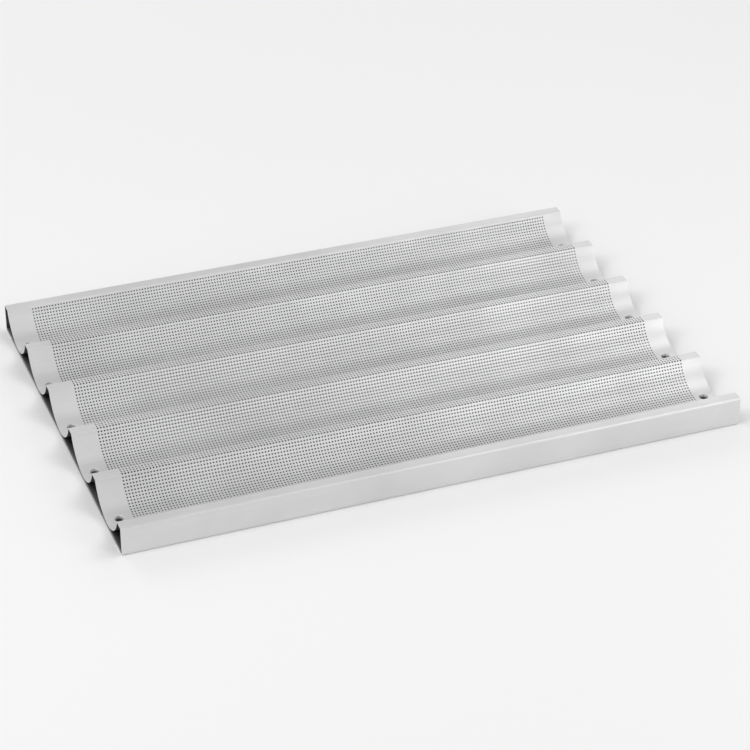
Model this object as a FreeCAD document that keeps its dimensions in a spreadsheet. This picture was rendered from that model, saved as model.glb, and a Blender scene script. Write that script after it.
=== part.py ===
# Baguette tray: one corrugated, perforated aluminium sheet with five troughs, a flat bar riveted
# across each end under the trough floors, and ten dished rivets.
# Frame: +X along the troughs, +Y to the rear, +Z up, origin at the centre of the footprint on z = 0.
import FreeCAD, Part
import Sketcher
import math
import os

DIMENSIONS = {
    "tray_length": 657.2,
    "tray_width": 454.0,
    "tray_height": 31.75,
    "trough_count": 5,
    "sheet_thickness": 1.0,
    "crest_flat": 9.0,
    "crest_radius": 2.2,
    "lip_radius": 2.0,
    "lip_width": 20.0,
    "rail_width": 25.4,
    "rail_thickness": 3.175,
    "rail_gap": 0.4,
    "rivet_inset": 12.7,
    "rivet_setback": 3.0,
    "dimple_radius": 4.5,
    "dimple_depth": 1.6,
    "overlap": 0.8,
    "head_inset": 1.5,
    "dish_radius": 2.6,
    "dish_depth": 0.5,
    "shank_radius": 1.95,
    "tail_radius": 3.4,
    "tail_height": 0.7,
}

# Sizes that follow from the ones above, as spreadsheet formulas.
DERIVED = {
    "crest_inset": "=crest_flat / 2 + crest_radius",
    "crest_y": "=crest_inset - tray_width / 2",
    "trough_pitch": "=(tray_width - 2 * crest_inset) / trough_count",
    "pattern_length": "=trough_pitch * (trough_count - 1)",
    "first_trough_y": "=-pattern_length / 2",
    "half_pitch": "=trough_pitch / 2",
    "half_flat": "=crest_flat / 2",
    "rail_top": "=sheet_thickness + rail_thickness",
    "trough_floor": "=rail_top + sheet_thickness",
    "trough_depth": "=tray_height - trough_floor",
    "wall_run": "=half_pitch - half_flat",
    "trough_radius": "=(wall_run ^ 2 + trough_depth ^ 2) / (2 * trough_depth) - crest_radius",
    "crest_underside": "=tray_height - sheet_thickness",
    "wall_inside": "=sheet_thickness - tray_width / 2",
    "lip_end": "=lip_width - tray_width / 2",
    "rail_half_width": "=rail_width / 2",
    "rail_half_length": "=tray_width / 2 - lip_radius - rail_gap",
    "rivet_x": "=tray_length / 2 - rivet_inset",
    "rivet_y": "=first_trough_y + rivet_setback",
    "backing_top": "=rail_top + overlap",
    "backing_radius": "=dimple_radius + overlap",
    "dimple_end": "=rail_top - dimple_depth",
    "dimple_end_radius": "=dimple_radius - dimple_depth",
    "cone_top": "=trough_floor + 2 * overlap",
    "cone_top_radius": "=dimple_radius + 2 * overlap",
    "cone_end": "=trough_floor - dimple_radius + shank_radius",
    "cut_end": "=sheet_thickness / 2",
    "head_top": "=trough_floor - head_inset",
    "head_radius": "=dimple_radius - head_inset",
    "dish_floor": "=head_top - dish_depth",
    "dish_curve": "=(dish_radius ^ 2 + dish_depth ^ 2) / (2 * dish_depth)",
    "tail_end": "=sheet_thickness - tail_height",
}

doc = FreeCAD.newDocument("baguette_tray")
sheet = doc.addObject("Spreadsheet::Sheet", "Dimensions")
for row, (alias, value) in enumerate(list(DIMENSIONS.items()) + list(DERIVED.items()), 1):
    sheet.set("A%d" % row, alias)
    sheet.set("B%d" % row, str(value))
    sheet.setAlias("B%d" % row, alias)
doc.recompute()


def size(alias):
    """The number now in the spreadsheet cell of that name."""
    return float(sheet.get(alias))


def bind(thing, target, formula):
    """Ties a property or a named constraint to a spreadsheet cell."""
    thing.setExpression(target, formula.replace("@", "Dimensions."))


def new_body(label):
    body = doc.addObject("PartDesign::Body", label)
    body.Label = label
    return body


def origin_part(body, role):
    return next(f for f in body.Origin.OriginFeatures if f.Role == role)


def new_sketch(body, name, plane):
    sketch = body.newObject("Sketcher::SketchObject", name)
    sketch.AttachmentSupport = (origin_part(body, plane), [""])
    sketch.MapMode = "FlatFace"
    return sketch


def drive(sketch, kind, where, alias):
    """Adds a dimension whose value is a spreadsheet cell."""
    index = sketch.addConstraint(Sketcher.Constraint(kind, *where, size(alias)))
    name = "%s_%d" % (alias, index)
    sketch.renameConstraint(index, name)
    bind(sketch, "Constraints." + name, "@" + alias)


def rule(sketch, kind, *where):
    sketch.addConstraint(Sketcher.Constraint(kind, *where))


def line(sketch, start, end):
    segment = Part.LineSegment(FreeCAD.Vector(*start, 0), FreeCAD.Vector(*end, 0))
    return sketch.addGeometry(segment, False)


def arc(sketch, centre, radius, start_angle, end_angle):
    circle = Part.Circle(FreeCAD.Vector(*centre, 0), FreeCAD.Vector(0, 0, 1), radius)
    angles = math.radians(start_angle), math.radians(end_angle)
    return sketch.addGeometry(Part.ArcOfCircle(circle, *angles), False)


def trough_skin(sketch, level, crest_radius, trough_radius):
    """One face of a trough: crest flat, bend, trough arc, bend, crest flat. Returns the curves."""
    half_pitch = size("half_pitch")
    bend_y = half_pitch - size("half_flat")
    bend_z = size("tray_height") - size("crest_radius")
    trough_z = size("trough_floor") + size("trough_radius")
    angle = math.degrees(2 * math.atan(size("trough_depth") / size("wall_run")))
    curves = [
        line(sketch, (-half_pitch, level), (-bend_y, level)),
        arc(sketch, (-bend_y, bend_z), crest_radius, 90 - angle, 90),
        arc(sketch, (0, trough_z), trough_radius, 270 - angle, 270 + angle),
        arc(sketch, (bend_y, bend_z), crest_radius, 90, 90 + angle),
        line(sketch, (bend_y, level), (half_pitch, level)),
    ]
    rule(sketch, "Tangent", curves[0], 2, curves[1], 2)
    rule(sketch, "Tangent", curves[1], 1, curves[2], 1)
    rule(sketch, "Tangent", curves[2], 2, curves[3], 2)
    rule(sketch, "Tangent", curves[3], 1, curves[4], 1)
    rule(sketch, "Horizontal", curves[0])
    rule(sketch, "Horizontal", curves[4])
    return curves


def skirt_skin(sketch, crest_level, crest_radius, wall_y, lip_level, lip_radius):
    """One face of the front skirt: crest flat, bend, wall, bend, lip. Returns the curves."""
    crest_y = size("crest_y")
    bend_y = crest_y - size("half_flat")
    bend_z = size("tray_height") - size("crest_radius")
    lip_bend_y = size("lip_radius") - size("tray_width") / 2
    lip_bend_z = size("lip_radius")
    curves = [
        line(sketch, (crest_y, crest_level), (bend_y, crest_level)),
        arc(sketch, (bend_y, bend_z), crest_radius, 90, 180),
        line(sketch, (wall_y, bend_z), (wall_y, lip_bend_z)),
        arc(sketch, (lip_bend_y, lip_bend_z), lip_radius, 180, 270),
        line(sketch, (lip_bend_y, lip_level), (size("lip_end"), lip_level)),
    ]
    rule(sketch, "Tangent", curves[0], 2, curves[1], 1)
    rule(sketch, "Tangent", curves[1], 2, curves[2], 1)
    rule(sketch, "Tangent", curves[2], 2, curves[3], 1)
    rule(sketch, "Tangent", curves[3], 2, curves[4], 1)
    rule(sketch, "Horizontal", curves[0])
    rule(sketch, "Vertical", curves[2])
    rule(sketch, "Horizontal", curves[4])
    return curves


def close_ends(sketch, upper, lower):
    """Joins the two faces of a bent sheet with a square-cut edge at each end."""
    for first, last, end in ((upper[0], lower[0], 1), (upper[-1], lower[-1], 2)):
        points = [sketch.getPoint(curve, end) for curve in (first, last)]
        edge = line(sketch, points[0][:2], points[1][:2])
        rule(sketch, "Coincident", edge, 1, first, end)
        rule(sketch, "Coincident", edge, 2, last, end)


def trough_sketch(body):
    sketch = new_sketch(body, "TroughSection", "YZ_Plane")
    height, under = size("tray_height"), size("crest_underside")
    bend, trough, gauge = size("crest_radius"), size("trough_radius"), size("sheet_thickness")
    upper = trough_skin(sketch, height, bend, trough)
    lower = trough_skin(sketch, under, bend - gauge, trough + gauge)
    close_ends(sketch, upper, lower)
    for over, beneath in zip(upper[1:4], lower[1:4]):
        rule(sketch, "Coincident", over, 3, beneath, 3)
    rule(sketch, "Symmetric", upper[0], 1, upper[4], 2, -2)
    rule(sketch, "PointOnObject", upper[2], 3, -2)
    rule(sketch, "Vertical", lower[0], 1, upper[0], 1)
    rule(sketch, "Vertical", lower[4], 2, upper[4], 2)
    rule(sketch, "Equal", upper[1], upper[3])
    drive(sketch, "DistanceX", (upper[4], 2), "half_pitch")
    drive(sketch, "DistanceX", (upper[4], 1, upper[4], 2), "half_flat")
    drive(sketch, "DistanceY", (upper[4], 2), "tray_height")
    drive(sketch, "DistanceY", (lower[0], 1), "crest_underside")
    drive(sketch, "Radius", (upper[1],), "crest_radius")
    bind(sketch, ".AttachmentOffset.Base.x", "@first_trough_y")
    return sketch


def skirt_sketch(body):
    sketch = new_sketch(body, "SkirtSection", "YZ_Plane")
    gauge = size("sheet_thickness")
    bend, foot = size("crest_radius"), size("lip_radius")
    outer = skirt_skin(sketch, size("tray_height"), bend, -size("tray_width") / 2, 0, foot)
    inner_levels = size("crest_underside"), bend - gauge, size("wall_inside"), gauge, foot - gauge
    inner = skirt_skin(sketch, *inner_levels)
    close_ends(sketch, outer, inner)
    for curve in (1, 3):
        rule(sketch, "Coincident", outer[curve], 3, inner[curve], 3)
    rule(sketch, "PointOnObject", outer[4], 2, -1)
    rule(sketch, "Vertical", inner[0], 1, outer[0], 1)
    rule(sketch, "Vertical", inner[4], 2, outer[4], 2)
    drive(sketch, "DistanceX", (outer[0], 1), "crest_y")
    drive(sketch, "DistanceY", (outer[0], 1), "tray_height")
    drive(sketch, "DistanceX", (outer[0], 2, outer[0], 1), "half_flat")
    drive(sketch, "Radius", (outer[1],), "crest_radius")
    drive(sketch, "Radius", (outer[3],), "lip_radius")
    drive(sketch, "DistanceX", (outer[4], 2), "lip_end")
    drive(sketch, "DistanceY", (inner[4], 2), "sheet_thickness")
    return sketch


def turned_sketch(body, name, corners, dish=None):
    """A closed half-section about the sketch's vertical axis. Each corner is a radius cell, or None
    on the axis, and a height cell; the edge after the corner numbered dish is a hollow arc."""
    sketch = new_sketch(body, name, "XZ_Plane")
    points = [(size(radius) if radius else 0, size(height)) for radius, height in corners]
    edges = []
    for number, start in enumerate(points):
        end = points[(number + 1) % len(points)]
        if number == dish:
            curve = size("dish_curve")
            spread = math.degrees(math.asin(size("dish_radius") / curve))
            edges.append(arc(sketch, (0, start[1] + curve), curve, 270, 270 + spread))
        else:
            edges.append(line(sketch, start, end))
    for number, edge in enumerate(edges):
        rule(sketch, "Coincident", edge, 2, edges[(number + 1) % len(edges)], 1)
        radius, height = corners[number]
        if radius:
            drive(sketch, "DistanceX", (edge, 1), radius)
        else:
            rule(sketch, "PointOnObject", edge, 1, -2)
        drive(sketch, "DistanceY", (edge, 1), height)
    if dish is not None:
        drive(sketch, "Radius", (edges[dish],), "dish_curve")
    return sketch


def turned(body, kind, sketch):
    feature = body.newObject("PartDesign::" + kind, sketch.Name + kind)
    feature.Profile = sketch
    feature.ReferenceAxis = (sketch, ["V_Axis"])
    feature.Angle = 360
    doc.recompute()
    return feature


def pad(body, sketch, alias, centred):
    feature = body.newObject("PartDesign::Pad", sketch.Name + "Pad")
    feature.Profile = sketch
    feature.Midplane = centred
    bind(feature, "Length", "@" + alias)
    doc.recompute()
    return feature


def repeat(body, originals):
    """Repeats features once for every trough, from the front to the rear."""
    pattern = body.newObject("PartDesign::LinearPattern", originals[0].Name + "Row")
    pattern.Originals = originals
    pattern.Direction = (origin_part(body, "Y_Axis"), [""])
    bind(pattern, "Length", "@pattern_length")
    bind(pattern, "Occurrences", "@trough_count")
    body.Tip = pattern
    doc.recompute()
    return pattern


def make_sheet():
    """The corrugated sheet with its skirts, lips and dimples, as if not yet perforated."""
    body = new_body("perforated_sheet")
    repeat(body, [pad(body, trough_sketch(body), "tray_length", True)])
    skirt = pad(body, skirt_sketch(body), "tray_length", True)
    rear = body.newObject("PartDesign::Mirrored", "RearSkirt")
    rear.Originals = [skirt]
    rear.MirrorPlane = (origin_part(body, "XZ_Plane"), [""])
    body.Tip = rear
    doc.recompute()
    backing = [
        (None, "backing_top"),
        ("backing_radius", "backing_top"),
        ("dimple_end_radius", "dimple_end"),
        (None, "dimple_end"),
    ]
    opening = [
        (None, "cone_top"),
        ("cone_top_radius", "cone_top"),
        ("shank_radius", "cone_end"),
        ("shank_radius", "cut_end"),
        (None, "cut_end"),
    ]
    for side, sign in (("Left", "-"), ("Right", "")):
        for kind, corners in (("Revolution", backing), ("Groove", opening)):
            sketch = turned_sketch(body, side + "Dimple" + kind, corners)
            bind(sketch, ".AttachmentOffset.Base.x", sign + "@rivet_x")
            bind(sketch, ".AttachmentOffset.Base.z", "-@rivet_y")
            doc.recompute()
            repeat(body, [turned(body, kind, sketch)])
    return body


def make_rail(label, sign):
    """A flat bar across one end, lying on the lips, with a countersunk hole under every trough."""
    body = new_body(label)
    outline = new_sketch(body, label + "_outline", "XY_Plane")
    across, along = size("rail_half_width"), size("rail_half_length")
    corners = [(-across, -along), (across, -along), (across, along), (-across, along)]
    edges = [line(outline, corners[n], corners[(n + 1) % 4]) for n in range(4)]
    for n in range(4):
        rule(outline, "Coincident", edges[n], 2, edges[(n + 1) % 4], 1)
        rule(outline, "Vertical" if n % 2 else "Horizontal", edges[n])
    rule(outline, "Symmetric", edges[0], 1, edges[1], 2, -1, 1)
    drive(outline, "DistanceX", (edges[1], 2), "rail_half_width")
    drive(outline, "DistanceY", (edges[1], 2), "rail_half_length")
    bind(outline, ".AttachmentOffset.Base.z", "@sheet_thickness")
    pad(body, outline, "rail_thickness", False)
    sink = [
        (None, "backing_top"),
        ("backing_radius", "backing_top"),
        ("dimple_end_radius", "dimple_end"),
        ("shank_radius", "dimple_end"),
        ("shank_radius", "cut_end"),
        (None, "cut_end"),
    ]
    hole = turned_sketch(body, label + "_hole", sink)
    bind(hole, ".AttachmentOffset.Base.z", "-@rivet_y")
    doc.recompute()
    repeat(body, [turned(body, "Groove", hole)])
    bind(body, ".Placement.Base.x", sign + "@rivet_x")
    return body


def make_rivet(label, sign, number):
    """A rivet with a dished head in the sheet's dimple and a low flat tail under the rail."""
    body = new_body(label)
    section = [
        (None, "dish_floor"),
        ("dish_radius", "head_top"),
        ("head_radius", "head_top"),
        ("shank_radius", "cone_end"),
        ("shank_radius", "sheet_thickness"),
        ("tail_radius", "sheet_thickness"),
        ("tail_radius", "tail_end"),
        (None, "tail_end"),
    ]
    turned(body, "Revolution", turned_sketch(body, label + "_section", section, dish=0))
    bind(body, ".Placement.Base.x", sign + "@rivet_x")
    bind(body, ".Placement.Base.y", "@rivet_y + @trough_pitch * %d" % number)
    return body


bodies = [make_sheet()]
troughs = int(size("trough_count"))
for side, sign in (("left", "-"), ("right", "")):
    bodies.append(make_rail("end_rail_" + side, sign))
    for number in range(troughs):
        # Rivets are counted from the rear trough to the front one.
        bodies.append(make_rivet("rivet_%s_%d" % (side, troughs - number), sign, number))
doc.recompute()

for thing in doc.Objects:
    if {"Invalid", "Error"} & set(thing.State):
        raise RuntimeError("%s did not rebuild: %s" % (thing.Label, thing.State))
for body in bodies:
    if body.Shape.isNull() or not body.Shape.isValid() or len(body.Shape.Solids) != 1:
        raise RuntimeError("%s is not one valid solid" % body.Label)

os.makedirs("parts", exist_ok=True)
for body in bodies:
    body.Shape.exportStep("parts/%s.step" % body.Label)
    box = body.Shape.BoundBox
    extent = box.XMin, box.XMax, box.YMin, box.YMax, box.ZMin, box.ZMax
    print(body.Label, round(body.Shape.Volume, 1), [round(value, 3) for value in extent])
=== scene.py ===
import math

import bpy
import numpy as np
from mathutils import Matrix, Vector


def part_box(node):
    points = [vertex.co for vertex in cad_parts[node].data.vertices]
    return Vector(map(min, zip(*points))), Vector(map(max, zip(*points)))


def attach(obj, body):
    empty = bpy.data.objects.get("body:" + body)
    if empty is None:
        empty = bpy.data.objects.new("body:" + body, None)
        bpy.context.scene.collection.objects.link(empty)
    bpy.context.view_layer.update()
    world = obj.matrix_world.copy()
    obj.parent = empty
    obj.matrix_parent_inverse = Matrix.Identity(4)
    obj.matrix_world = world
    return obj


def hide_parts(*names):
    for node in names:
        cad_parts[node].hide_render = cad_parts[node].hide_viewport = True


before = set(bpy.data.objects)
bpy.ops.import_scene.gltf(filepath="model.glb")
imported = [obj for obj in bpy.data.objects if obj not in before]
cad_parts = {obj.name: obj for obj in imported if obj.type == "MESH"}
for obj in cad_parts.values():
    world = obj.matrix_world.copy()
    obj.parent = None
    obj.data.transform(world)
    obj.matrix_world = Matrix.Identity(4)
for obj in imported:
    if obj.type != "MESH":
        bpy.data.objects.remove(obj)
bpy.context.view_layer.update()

# ---------------------------------------------------------------- sizes, in metres

SHEET = 0.001  # the sheet's thickness
CREST_FLAT = 0.009
CREST_RADIUS = 0.0022  # outer radius of a crest's bends
LIP_RADIUS = 0.002  # outer radius of the bend at a skirt's foot
LIP_WIDTH = 0.020
TROUGHS = 5

HOLE_PITCH = 0.003175  # along the troughs
ROW_PITCH = 0.003441  # across them
HOLE_RADIUS = 0.00087
COLUMNS = 192
ROWS = 156
FIELD_SHIFT = 0.0021  # the field of holes sits this much to the right of the sheet's middle

RAIL_BEVEL = 0.0003
RIVET_INSET = 0.0127
DIMPLE_RADIUS = 0.0045
DIMPLE_THROAT = 0.00195
DIMPLE_END_RADIUS = 0.0029  # where the dimple's underside ends
# The dimple's rounded edge: how far out from its radius, and how deep below the sheet's surface.
DIMPLE_EDGE = [(0.0012, 0), (0.0007, 0.00003), (0.0003, 0.00012), (0, 0.00027), (-0.0003, 0.0005)]
DIMPLE_WALL = 0.0009  # the straight wall starts this far in from the radius and this deep
DIMPLE_FLARE = 0.0008  # the underside starts to bend this far out from the radius

# The sheet's grid of four-sided faces.
EDGE_STEPS = 7  # from an end of the sheet to the line of its rivets
LEFT_STEPS, RIGHT_STEPS = 7, 5  # from the line of rivets to the field of holes
DIMPLE_PATCH = 4  # grid squares from a rivet's centre to the edge of its patch
BEND_STEP = math.radians(11)  # the most that a face turns in the plain parts
TIGHT_RADIUS = 0.01  # rows of holes on tighter bends than this get finer faces
ROW_STEPS, TIGHT_ROW_STEPS = 2, 4
SHARP_ANGLE = math.radians(50)
SMALL = 1e-6
STRAIGHT_BEND = 1e-9  # stands in for a bend of nothing

# The sheet's materials, by their slots; the hole walls, the underside and the dimples' pits are
# darkened as painted shade.
FACE, HOLE_WALL_SHADE, UNDERSIDE_SHADE, PIT_SHADE = range(4)
# The underside's dark tone is painted shade, not a different metal.
SIDE_MATERIALS = {1: FACE, -1: UNDERSIDE_SHADE}

sheet_low, sheet_high = (Vector(corner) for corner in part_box("perforated_sheet"))
rail_low, rail_high = (Vector(corner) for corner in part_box("end_rail_left"))
LENGTH = sheet_high.x - sheet_low.x
WIDTH = sheet_high.y - sheet_low.y
HEIGHT = sheet_high.z - sheet_low.z
RAIL_TOP = rail_high.z
TROUGH_FLOOR = RAIL_TOP + SHEET


# ---------------------------------------------------------------- the sheet's section

def section_path():
    """The sheet's middle surface, from the front lip's edge to the rear one's, as steps of length
    and turn. A right turn is negative."""
    inset = CREST_FLAT / 2 + CREST_RADIUS
    pitch = (WIDTH - 2 * inset) / TROUGHS
    run = pitch / 2 - CREST_FLAT / 2
    depth = HEIGHT - TROUGH_FLOOR
    angle = 2 * math.atan2(depth, run)
    trough = (run ** 2 + depth ** 2) / (2 * depth) - CREST_RADIUS + SHEET / 2
    crest = CREST_RADIUS - SHEET / 2
    foot = LIP_RADIUS - SHEET / 2
    square = math.pi / 2
    lip = LIP_WIDTH - LIP_RADIUS
    wall = HEIGHT - CREST_RADIUS - LIP_RADIUS
    path = [(lip, 0), (foot * square, -square), (wall, 0), (crest * square, -square)]
    path += [(CREST_FLAT, 0)]
    for number in range(TROUGHS):
        path += [(crest * angle, -angle), (trough * 2 * angle, 2 * angle), (crest * angle, -angle)]
        path += [(CREST_FLAT, 0)]
    path += [(crest * square, -square), (wall, 0), (foot * square, -square), (lip, 0)]
    return path


class Section:
    """Turns a distance along the sheet's middle surface into a place and a direction."""

    def __init__(self, path):
        lengths, turns = np.array(path).T
        self.starts = np.concatenate([[0], np.cumsum(lengths)])
        self.bend = turns / lengths
        self.heading = math.pi + np.concatenate([[0], np.cumsum(turns)])[:-1]
        corner = np.array([-WIDTH / 2 + LIP_WIDTH, SHEET / 2])
        self.corners = []
        for number, length in enumerate(lengths):
            self.corners.append(corner)
            corner = self.walk(corner, self.heading[number], self.bend[number], length)
        self.corners = np.array(self.corners)

    @staticmethod
    def walk(corner, heading, bend, distance):
        """The point a distance on from a corner along a circle, or along a nearly straight one."""
        bend = np.where(np.abs(bend) < STRAIGHT_BEND, STRAIGHT_BEND, bend)
        end = heading + bend * distance
        step = np.stack([np.sin(end) - np.sin(heading), np.cos(heading) - np.cos(end)], axis=-1)
        return corner + step / np.expand_dims(bend, -1)

    def place(self, x, along, out):
        """Points at x, at a distance along the section, and out from the middle surface."""
        x, along, out = np.broadcast_arrays(x, along, out)
        last = len(self.bend) - 1
        piece = np.clip(np.searchsorted(self.starts, along, side="right") - 1, 0, last)
        distance = along - self.starts[piece]
        heading, bend = self.heading[piece], self.bend[piece]
        spot = self.walk(self.corners[piece], heading, bend, distance)
        heading = heading + bend * distance
        y = spot[..., 0] - out * np.sin(heading)
        z = spot[..., 1] + out * np.cos(heading)
        return np.stack([x, y, z], axis=-1)


# ---------------------------------------------------------------- the perforated sheet

def margin_lines(section, first, last):
    """Distances along the section that follow its bends closely between two points."""
    lines = [first]
    for start, end, bend in zip(section.starts[:-1], section.starts[1:], section.bend):
        low, high = max(start, first), min(end, last)
        if high - low < SMALL:
            continue
        steps = max(1, math.ceil(abs(bend) * (high - low) / BEND_STEP))
        lines += list(np.linspace(low, high, steps + 1)[1:])
    return lines[:-1] + [last]


def tight_bends(section, low, high):
    """True if a crest bend lies between two distances along the section."""
    inside = (section.starts[1:] > low) & (section.starts[:-1] < high)
    return bool(np.any(inside & (np.abs(section.bend) > 1 / TIGHT_RADIUS)))


def hole_rows(section):
    """The distance along the section and the number of grid steps of each row of holes."""
    middle = section.starts[-1] / 2
    rows = []
    for number in range(ROWS):
        centre = middle + (number - (ROWS - 1) / 2) * ROW_PITCH
        tight = tight_bends(section, centre - ROW_PITCH / 2, centre + ROW_PITCH / 2)
        rows.append((centre, TIGHT_ROW_STEPS if tight else ROW_STEPS))
    return rows


def cell_loop(steps):
    """The grid points round one hole's cell, anticlockwise from the middle of its right side."""
    half = steps // 2
    loop = [(2, line) for line in range(half, steps)]
    loop += [(column, steps) for column in (2, 1)]
    loop += [(0, line) for line in range(steps, 0, -1)]
    loop += [(column, 0) for column in (0, 1)]
    loop += [(2, line) for line in range(half)]
    return loop


def patch_loop(size):
    """The grid points round a square patch, anticlockwise from the middle of its right side."""
    half = size // 2
    loop = [(size, line) for line in range(half, size)]
    loop += [(column, size) for column in range(size, 0, -1)]
    loop += [(0, line) for line in range(size, 0, -1)]
    loop += [(column, 0) for column in range(size)]
    loop += [(size, line) for line in range(half)]
    return loop


class MeshParts:
    """Points and four-sided faces, gathered in blocks, each block of faces with one material."""

    def __init__(self):
        self.points, self.faces, self.materials, self.count = [], [], [], 0

    def add_points(self, block):
        """Adds points and returns their numbers in the block's own shape."""
        block = np.asarray(block, dtype=np.float64)
        flat = block.reshape(-1, 3)
        self.points.append(flat)
        numbers = np.arange(self.count, self.count + len(flat)).reshape(block.shape[:-1])
        self.count += len(flat)
        return numbers

    def add_faces(self, corners, flip=False, material=0):
        """Adds faces from an array whose last axis is four point numbers."""
        corners = np.asarray(corners).reshape(-1, 4)
        self.faces.append(corners[:, ::-1] if flip else corners)
        self.materials.append(np.full(len(corners), material, dtype=np.int32))

    def add_ring(self, outer, inner, flip=False, material=0):
        """Joins two loops of the same length; the loops run along the last axis."""
        after = np.roll(outer, -1, axis=-1), np.roll(inner, -1, axis=-1)
        corners = np.stack([outer, after[0], after[1], inner], axis=-1)
        self.add_faces(corners, flip, material)

    def build(self, name):
        """Makes a smooth mesh of the points that the faces use."""
        points, faces = np.concatenate(self.points), np.concatenate(self.faces)
        used, faces = np.unique(faces, return_inverse=True)
        faces = faces.reshape(-1, 4).astype(np.int32)
        points = points[used].astype(np.float32)
        mesh = bpy.data.meshes.new(name)
        mesh.vertices.add(len(points))
        mesh.vertices.foreach_set("co", points.ravel())
        mesh.loops.add(faces.size)
        mesh.loops.foreach_set("vertex_index", faces.ravel())
        mesh.polygons.add(len(faces))
        mesh.polygons.foreach_set("loop_start", np.arange(0, faces.size, 4, dtype=np.int32))
        mesh.polygons.foreach_set("use_smooth", np.ones(len(faces), dtype=bool))
        mesh.polygons.foreach_set("material_index", np.concatenate(self.materials))
        mesh.update(calc_edges=True)
        return mesh


def grid_lines(section):
    """The grid's places along X and along the section, the columns before the holes, each row's
    first line, and the rows."""
    first = FIELD_SHIFT - COLUMNS * HOLE_PITCH / 2
    last = FIELD_SHIFT + COLUMNS * HOLE_PITCH / 2
    edge, rivet = LENGTH / 2, LENGTH / 2 - RIVET_INSET
    margin_steps = EDGE_STEPS + LEFT_STEPS
    across = np.concatenate([
        np.linspace(-edge, -rivet, EDGE_STEPS + 1)[:-1],
        np.linspace(-rivet, first, LEFT_STEPS + 1)[:-1],
        np.linspace(first, last, 2 * COLUMNS + 1),
        np.linspace(last, rivet, RIGHT_STEPS + 1)[1:],
        np.linspace(rivet, edge, EDGE_STEPS + 1)[1:],
    ])
    rows = hole_rows(section)
    start = rows[0][0] - ROW_PITCH / 2
    along = margin_lines(section, 0, start)
    first_lines = []
    for centre, steps in rows:
        first_lines.append(len(along) - 1)
        lines = np.linspace(centre - ROW_PITCH / 2, centre + ROW_PITCH / 2, steps + 1)
        along += list(lines[1:])
    along += margin_lines(section, along[-1], section.starts[-1])[1:]
    return across, np.array(along), margin_steps, first_lines, rows


def add_holes(parts, section, grids, across, margin_steps, first_lines, rows):
    """Replaces two columns of grid squares in each row by cells with a round hole."""
    first_columns = margin_steps + 2 * np.arange(COLUMNS)
    centres = across[first_columns + 1]
    for (centre, steps), first_line in zip(rows, first_lines):
        loop = np.array(cell_loop(steps))
        turn = 2 * math.pi * np.arange(len(loop)) / len(loop)
        x = centres[:, None] + HOLE_RADIUS * np.cos(turn)
        along = centre + HOLE_RADIUS * np.sin(turn)[None, :]
        rims = []
        for side, grid in grids.items():
            rim = parts.add_points(section.place(x, along, side * SHEET / 2))
            outer = grid[first_columns[:, None] + loop[:, 0], first_line + loop[:, 1]]
            parts.add_ring(outer, rim, flip=side < 0, material=SIDE_MATERIALS[side])
            rims.append(rim)
        # The hole walls get a near-black tone: painted shade inside the holes.
        parts.add_ring(rims[0], rims[1], material=HOLE_WALL_SHADE)


def add_dimple(parts, section, grids, across, along, rivet):
    """Replaces a square patch of the grid by the dimple that a rivet's head sits in. Returns its
    first column and line."""
    low, high = (Vector(corner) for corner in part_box(rivet))
    centre = (low + high) / 2
    middle = trough_place(section, centre.y)
    column = int(np.argmin(np.abs(across - centre.x))) - DIMPLE_PATCH
    line = int(np.argmin(np.abs(along - middle))) - DIMPLE_PATCH
    loop = np.array(patch_loop(2 * DIMPLE_PATCH))
    turn = 2 * math.pi * np.arange(len(loop)) / len(loop)

    def ring(radius, height):
        """A level circle of points."""
        circle = [centre.x + radius * np.cos(turn), centre.y + radius * np.sin(turn)]
        return parts.add_points(np.stack(circle + [np.full(len(turn), height)], axis=-1))

    def rim(radius, depth, side):
        """A circle of points that follows the trough, at a depth below its surface."""
        x, distance = centre.x + radius * np.cos(turn), middle + radius * np.sin(turn)
        return parts.add_points(section.place(x, distance, side * SHEET / 2 - depth))

    end = RAIL_TOP - DIMPLE_RADIUS + DIMPLE_END_RADIUS
    steps = {1: [rim(DIMPLE_RADIUS + out, depth, 1) for out, depth in DIMPLE_EDGE]}
    steps[1] += [
        ring(DIMPLE_RADIUS - DIMPLE_WALL, TROUGH_FLOOR - DIMPLE_WALL),
        ring(DIMPLE_THROAT, TROUGH_FLOOR - DIMPLE_RADIUS + DIMPLE_THROAT),
        ring(DIMPLE_THROAT, end),
    ]
    steps[-1] = [
        rim(DIMPLE_RADIUS + DIMPLE_FLARE, 0, -1),
        ring(DIMPLE_RADIUS, RAIL_TOP),
        ring(DIMPLE_END_RADIUS, end),
        steps[1][-1],
    ]
    for side, grid in grids.items():
        outer = grid[column + loop[:, 0], line + loop[:, 1]]
        for number, inner in enumerate(steps[side]):
            # Inside the rim the pit gets a mid-grey tone: painted shade in the recess.
            in_pit = side > 0 and number >= len(DIMPLE_EDGE) - 1
            material = PIT_SHADE if in_pit else SIDE_MATERIALS[side]
            parts.add_ring(outer, inner, flip=side < 0, material=material)
            outer = inner
    return column, line


def trough_place(section, y):
    """The distance along the section at y, which is on or near a trough's floor."""
    troughs = np.flatnonzero(section.bend > 0)
    middles = (section.starts[troughs] + section.starts[troughs + 1]) / 2
    places = section.place(0, middles, 0)[:, 1]
    nearest = int(np.argmin(np.abs(places - y)))
    return middles[nearest] + y - places[nearest]


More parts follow.
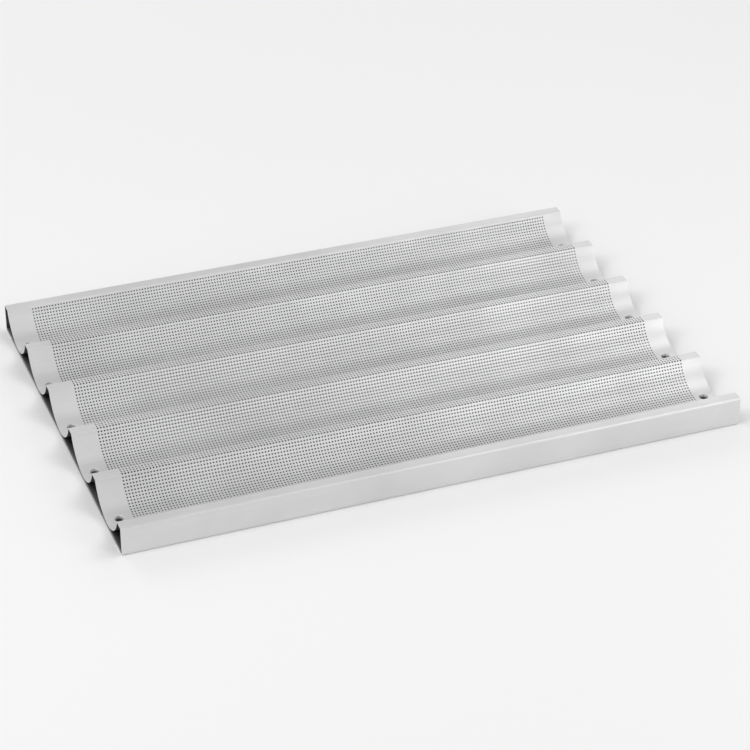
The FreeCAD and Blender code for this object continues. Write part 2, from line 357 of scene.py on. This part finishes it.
def perforated_sheet(rivets):
    """The whole sheet as one closed mesh: a grid on each side, holes, dimples and edges."""
    section = Section(section_path())
    across, along, margin_steps, first_lines, rows = grid_lines(section)
    parts = MeshParts()
    grids = {}
    for side in (1, -1):
        points = section.place(across[:, None], along[None, :], side * SHEET / 2)
        grids[side] = parts.add_points(points)
    plain = np.ones((len(across) - 1, len(along) - 1), dtype=bool)
    last_line = first_lines[-1] + rows[-1][1]
    plain[margin_steps:margin_steps + 2 * COLUMNS, first_lines[0]:last_line] = False
    add_holes(parts, section, grids, across, margin_steps, first_lines, rows)
    for rivet in rivets:
        column, line = add_dimple(parts, section, grids, across, along, rivet)
        size = 2 * DIMPLE_PATCH
        plain[column:column + size, line:line + size] = False
    columns, lines = np.nonzero(plain)
    for side, grid in grids.items():
        corners = [grid[columns, lines], grid[columns + 1, lines]]
        corners += [grid[columns + 1, lines + 1], grid[columns, lines + 1]]
        corners = np.stack(corners, axis=-1)
        parts.add_faces(corners, flip=side < 0, material=SIDE_MATERIALS[side])
    edges = []
    for grid in (grids[-1], grids[1]):
        sides = [grid[-1, :-1], grid[:0:-1, -1], grid[0, :0:-1], grid[:-1, 0]]
        edges.append(np.concatenate(sides))
    parts.add_ring(*edges)
    mesh = parts.build("sheet")
    mesh.set_sharp_from_angle(angle=SHARP_ANGLE)
    piece = bpy.data.objects.new("sheet", mesh)
    bpy.context.collection.objects.link(piece)
    return piece


# ---------------------------------------------------------------- materials

class Nodes:
    """A material's node tree, built by name."""

    def __init__(self, name):
        self.material = bpy.data.materials.new(name)
        self.material.use_nodes = True
        self.tree = self.material.node_tree
        self.shader = self.tree.nodes["Principled BSDF"]

    def add(self, kind, **values):
        """Adds a node and sets its inputs and properties."""
        node = self.tree.nodes.new("ShaderNode" + kind)
        for key, value in values.items():
            if key in node.inputs:
                node.inputs[key].default_value = value
            else:
                setattr(node, key, value)
        return node

    def link(self, source, target):
        self.tree.links.new(source, target)

    def noise(self, scale, stretch=(1, 1, 1), detail=3.0):
        """A noise in the piece's own frame; stretch above 1 makes it finer along that axis."""
        place = self.add("TexCoord")
        mapping = self.add("Mapping")
        mapping.inputs["Scale"].default_value = stretch
        texture = self.add("TexNoise", Scale=scale, Detail=detail)
        self.link(place.outputs["Object"], mapping.inputs["Vector"])
        self.link(mapping.outputs["Vector"], texture.inputs["Vector"])
        return texture.outputs["Fac"]

    def ramp(self, factor, low, high):
        """Maps a noise to a grey between two values."""
        node = self.add("ValToRGB")
        for element, position, value in zip(node.color_ramp.elements, (0.3, 0.7), (low, high)):
            element.position = position
            element.color = (value, value, value, 1)
        self.link(factor, node.inputs["Fac"])
        return node.outputs["Color"]

    def multiply(self, first, second):
        node = self.add("MixRGB", blend_type="MULTIPLY", Fac=1.0)
        self.link(first, node.inputs["Color1"])
        self.link(second, node.inputs["Color2"])
        return node.outputs["Color"]

    def bump(self, height, distance, strength, under=None):
        node = self.add("Bump", Strength=strength, Distance=distance)
        self.link(height, node.inputs["Height"])
        if under is not None:
            self.link(under, node.inputs["Normal"])
        return node.outputs["Normal"]


def aluminium(name, tones, roughness, grain):
    """Satin aluminium: cloudy tone and gloss, with a fine rolled grain along X."""
    nodes = Nodes(name)
    clouds = nodes.ramp(nodes.noise(9.0, detail=4.0), *tones)
    streaks = nodes.noise(60.0, stretch=(0.05, 8, 8), detail=2.0)
    tone = nodes.multiply(clouds, nodes.ramp(streaks, 0.965, 1.0))
    nodes.link(tone, nodes.shader.inputs["Base Color"])
    patches = nodes.ramp(nodes.noise(23.0), *roughness)
    gloss = nodes.multiply(patches, nodes.ramp(streaks, 0.94, 1.0))
    nodes.link(gloss, nodes.shader.inputs["Roughness"])
    waves = nodes.bump(nodes.noise(14.0, detail=1.0), 0.0006, 0.25)
    fine = nodes.bump(nodes.noise(220.0, stretch=(0.08, 4, 4)), grain, 0.3, under=waves)
    nodes.link(fine, nodes.shader.inputs["Normal"])
    nodes.shader.inputs["Metallic"].default_value = 1.0
    return nodes.material


def paper(name, tone):
    """The studio's matt paper."""
    nodes = Nodes(name)
    nodes.shader.inputs["Base Color"].default_value = (tone, tone, tone, 1)
    nodes.shader.inputs["Roughness"].default_value = 0.8
    nodes.shader.inputs["Specular IOR Level"].default_value = 0.1
    return nodes.material


def dress(piece, *materials):
    """Gives a piece its materials: the first in every slot it has, the others in new ones."""
    for slot in piece.material_slots:
        slot.material = materials[0]
    for material in materials[len(piece.material_slots):]:
        piece.data.materials.append(material)


# ---------------------------------------------------------------- the object

rivets = [
    "rivet_%s_%d" % (side, number)
    for side in ("left", "right")
    for number in range(1, TROUGHS + 1)
]

sheet = perforated_sheet(rivets)
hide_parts("perforated_sheet")
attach(sheet, "root")
# The sheet's own satin finish, then painted shade for the hole walls, the underside and the
# dimples' pits.
finishes_and_shades = [
    aluminium("sheet_aluminium", (0.72, 0.80), (0.50, 0.58), 0.00002),
    aluminium("hole_wall_painted_shade", (0.05, 0.08), (0.50, 0.62), 0.00001),
    aluminium("underside_painted_shade", (0.14, 0.20), (0.55, 0.65), 0.00002),
    aluminium("pit_wall_painted_shade", (0.36, 0.44), (0.50, 0.60), 0.00002),
]
dress(sheet, *finishes_and_shades)

# The rails are the same aluminium; their dark tone is painted shade.
rail_shade_finish = aluminium("rail_painted_shade", (0.28, 0.34), (0.46, 0.58), 0.00004)
for name in ("end_rail_left", "end_rail_right"):
    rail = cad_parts[name]
    dress(rail, rail_shade_finish)
    bevel = rail.modifiers.new("eased_edges", "BEVEL")
    bevel.width = RAIL_BEVEL
    bevel.segments = 2
    bevel.limit_method = "ANGLE"

# The rivet heads' near-black tone is painted shade at the bottom of the dimples' pits.
rivet_shade_finish = aluminium("rivet_head_painted_shade", (0.05, 0.08), (0.45, 0.56), 0.00002)
for name in rivets:
    dress(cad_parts[name], rivet_shade_finish)


# ---------------------------------------------------------------- studio

# Name, place in metres, width in metres and power in watts.
LAMPS = [
    ("front", (1.1, -1.8, 0.8), 1.0, 8.0),
    ("right", (1.2, -0.3, 1.6), 1.0, 5.7),
    ("left", (-1.3, -0.4, 1.6), 1.0, 10.4),
    ("rear_left", (-0.9, 1.9, 1.2), 1.2, 7.6),
    ("rear_right", (1.2, 1.6, 1.1), 1.2, 4.1),
]


def flat_sheet(name, half_length, half_width, height, material):
    """A level sheet of the studio's paper, centred under the tray."""
    corners = [(-1, -1), (1, -1), (1, 1), (-1, 1)]
    points = [(x * half_length, y * half_width, sheet_low.z + height) for x, y in corners]
    mesh = bpy.data.meshes.new(name)
    mesh.from_pydata(points, [], [(0, 1, 2, 3)])
    piece = bpy.data.objects.new(name, mesh)
    bpy.context.collection.objects.link(piece)
    dress(piece, material)


def soft_light(name, place, width, power):
    """A square lamp that looks at the tray."""
    lamp = bpy.data.lights.new(name, "AREA")
    lamp.size = width
    lamp.energy = power
    piece = bpy.data.objects.new(name, lamp)
    bpy.context.collection.objects.link(piece)
    piece.location = place
    piece.rotation_euler = (-Vector(place)).to_track_quat("-Z", "Y").to_euler()


def studio():
    """The floor, the black card under the tray that paints in the shade inside it, five lamps and
    a white surround.
    """
    flat_sheet("floor", 6, 6, 0, paper("white_paper", 0.94))
    # The black card is painted shade: it keeps the light from coming back up through the holes, so
    # the inside of the tray looks dark.
    half_length = LENGTH / 2 - 0.002
    between_lips = WIDTH / 2 - LIP_WIDTH - 0.0005
    flat_sheet("card", half_length, between_lips, 0.0001, paper("painted_shade_card", 0.03))
    for name, place, width, power in LAMPS:
        soft_light(name, place, width, power)
    bpy.context.scene.view_settings.view_transform = "Standard"
    world = bpy.data.worlds.new("studio")
    world.use_nodes = True
    background = world.node_tree.nodes["Background"]
    background.inputs["Color"].default_value = (1, 1, 1, 1)
    background.inputs["Strength"].default_value = 0.545
    bpy.context.scene.world = world


def camera():
    """A long lens in front of the tray and to its left, looking down, with a trace of roll."""
    azimuth, elevation, roll = (math.radians(angle) for angle in (-21.13, 31.31, 0.22))
    distance, lens = 2.6414, 119.5
    aside, above = 0.0144, 0.0009
    level_part = math.cos(elevation)
    back = Vector((
        math.sin(azimuth) * level_part,
        -math.cos(azimuth) * level_part,
        math.sin(elevation),
    ))
    level = Vector((0, 0, 1)).cross(back).normalized()
    right = Matrix.Rotation(roll, 3, back) @ level
    up = back.cross(right)
    piece = bpy.data.objects.new("camera", bpy.data.cameras.new("camera"))
    bpy.context.collection.objects.link(piece)
    axes = Matrix((right, up, back)).transposed().to_4x4()
    piece.matrix_world = Matrix.Translation(back * distance + right * aside + up * above) @ axes
    piece.data.lens = lens
    piece.data.sensor_width = 36
    piece.data.clip_end = 50
    bpy.context.scene.camera = piece


studio()
camera()
